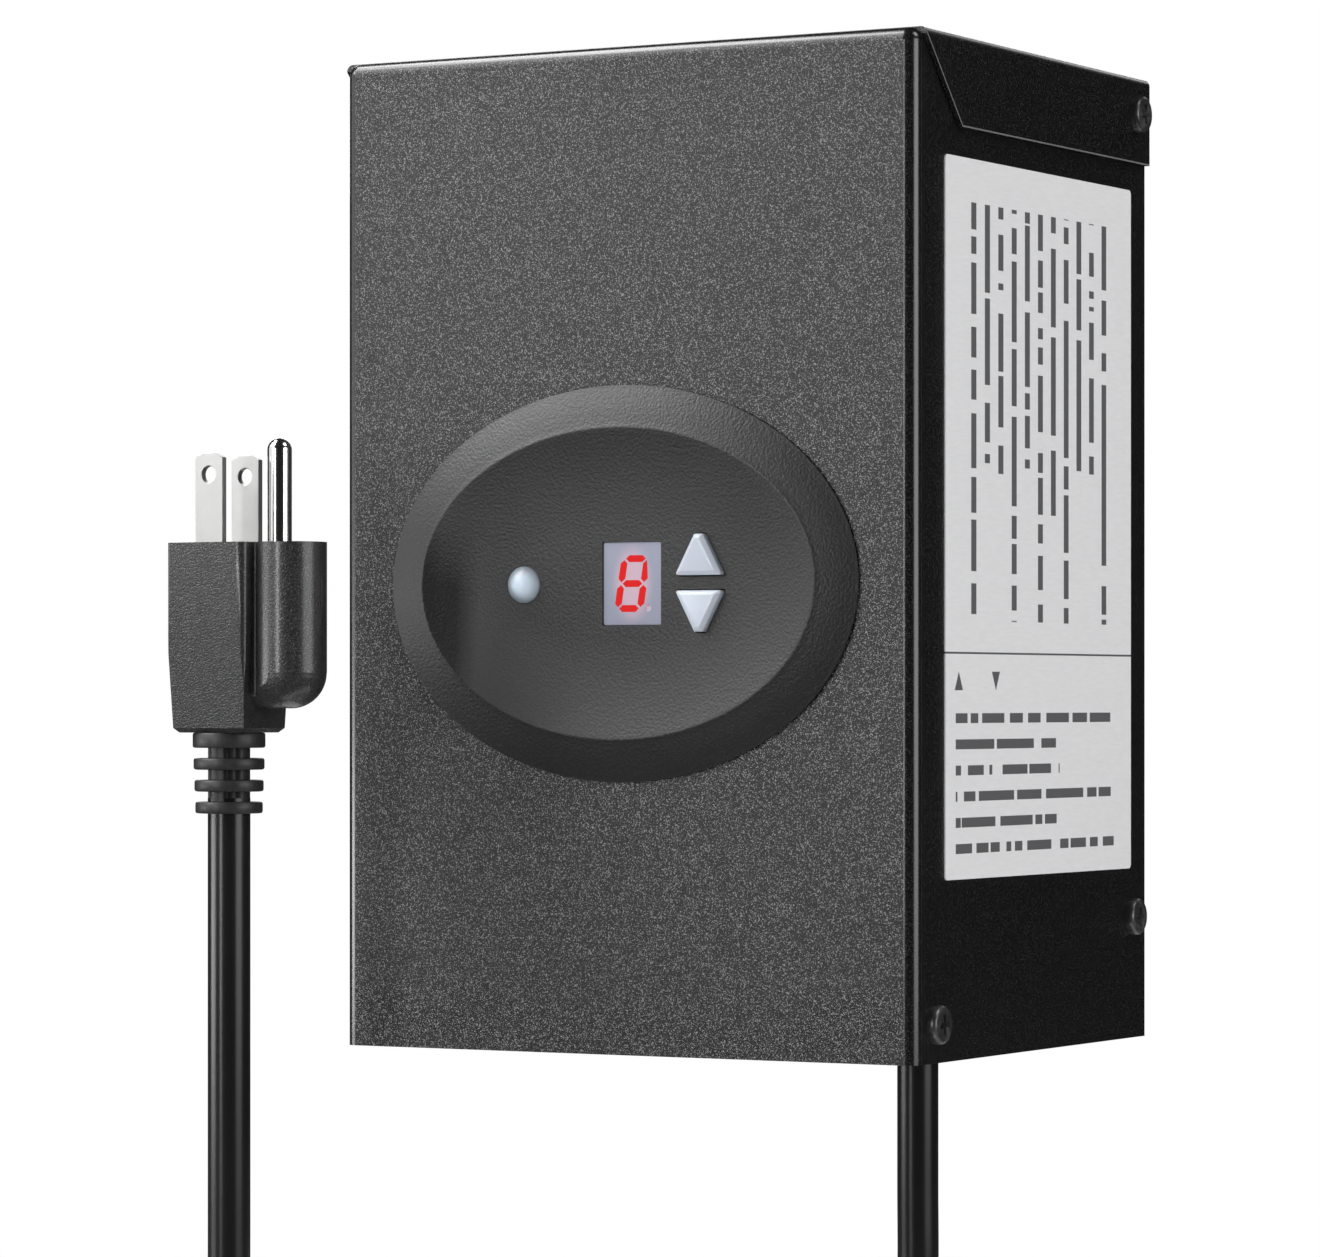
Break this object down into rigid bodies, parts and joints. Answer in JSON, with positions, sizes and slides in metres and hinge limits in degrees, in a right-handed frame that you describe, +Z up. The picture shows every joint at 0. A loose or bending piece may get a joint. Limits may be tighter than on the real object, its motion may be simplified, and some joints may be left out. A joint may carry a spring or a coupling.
{
  "type": "low voltage landscape transformer",
  "caption": "Wall hung folded steel transformer box with an oval control bezel, lit digit, arrow keys, a blank side label plate, and a grounded plug on a coiled cord.",
  "frame": {"origin": "centre of the upper keyhole's round entry, on the rear face of the back plate", "axes": "+X to the right seen from the front, +Y out of the back towards the wall, +Z up; the front panel faces -Y"},
  "size_m": [0.1421, 0.1596, 0.2949],
  "materials": {
    "cover_paint": "charcoal textured powder coat",
    "chassis_paint": "dark textured powder coat",
    "black_screws": "blackened steel",
    "plated_steel": "zinc plated",
    "label_foil": "satin foil plate",
    "bezel_plastic": "fine textured dark plastic",
    "gasket_rubber": "soft foam rubber",
    "lens_plastic": "clear tinted window",
    "module_plastic": "grey blue display face",
    "segment_light": "red lit segment",
    "sensor_ceramic": "ceramic disc",
    "key_plastic": "pale translucent key",
    "black_plastic": "black moulding",
    "switch_shell": "stamped shell",
    "board_laminate": "green solder mask",
    "relay_plastic": "blue moulding",
    "capacitor_sleeve": "sleeved aluminium can",
    "cream_nylon": "cream nylon",
    "core_steel": "varnished steel laminations",
    "magnet_wire": "enamelled copper wire",
    "yellow_tape": "yellow polyester tape",
    "brass_parts": "bright brass",
    "green_screw": "green dyed steel",
    "black_wire": "black insulation",
    "white_wire": "white insulation",
    "green_wire": "green insulation",
    "brown_wire": "brown sleeving",
    "red_wire": "red insulation",
    "orange_plastic": "orange plastic",
    "orange_wire": "orange insulation",
    "cord_jacket": "glossy black jacket",
    "plug_moulding": "leather grained dark moulding",
    "plated_contacts": "nickel plated brass"
  },
  "bodies": {
    "housing": {"front_cover": "cover_paint", "back_plate": "chassis_paint", "bottom_plate": "chassis_paint", "cover_screws": "black_screws", "chassis_rivets": "plated_steel", "housing_screws": "plated_steel", "board_screws": "plated_steel", "core_spacers": "plated_steel", "core_studs": "plated_steel", "core_nuts": "plated_steel", "breaker_rivets": "plated_steel", "terminal_screws": "plated_steel", "block_screws": "plated_steel", "side_label": "label_foil", "bezel": "bezel_plastic", "bezel_gasket": "gasket_rubber", "display_lens": "lens_plastic", "sensor_dome": "lens_plastic", "display_module": "module_plastic", "display_segments": "segment_light", "photocell": "sensor_ceramic", "microcontroller": "black_plastic", "module_housing": "black_plastic", "thermal_breaker": "black_plastic", "terminal_block": "black_plastic", "cable_gland": "black_plastic", "gland_nut": "black_plastic", "tact_switches": "switch_shell", "control_board": "board_laminate", "relay": "relay_plastic", "filter_capacitor": "capacitor_sleeve", "wire_header": "cream_nylon", "bobbin": "cream_nylon", "core_e_stack": "core_steel", "core_i_stack": "core_steel", "primary_winding": "magnet_wire", "secondary_winding": "magnet_wire", "winding_tape": "yellow_tape", "terminal_plates": "brass_parts", "ground_lug": "brass_parts", "ground_screw": "green_screw", "line_wire": "black_wire", "neutral_wire": "white_wire", "ground_wire": "green_wire", "primary_leads": "brown_wire", "secondary_leads": "red_wire", "wire_nuts": "orange_plastic", "control_wires": "orange_wire", "power_cord": "cord_jacket", "cord_coil": "cord_jacket", "plug_lead": "cord_jacket", "coil_tie": "cord_jacket", "plug_body": "plug_moulding", "plug_boot": "plug_moulding", "plug_blades": "plated_contacts", "ground_pin": "plated_contacts"},
    "up_key": {"up_button": "key_plastic", "up_plunger": "black_plastic"},
    "down_key": {"down_button": "key_plastic", "down_plunger": "black_plastic"}
  },
  "joints": [
    {"name": "up_key_press", "type": "slide", "parent": "housing", "child": "up_key", "axis": [0, 1, 0], "range_m": [0, 0.0008], "stiffness_N_per_m": 400},
    {"name": "down_key_press", "type": "slide", "parent": "housing", "child": "down_key", "axis": [0, 1, 0], "range_m": [0, 0.0008], "stiffness_N_per_m": 400}
  ]
}
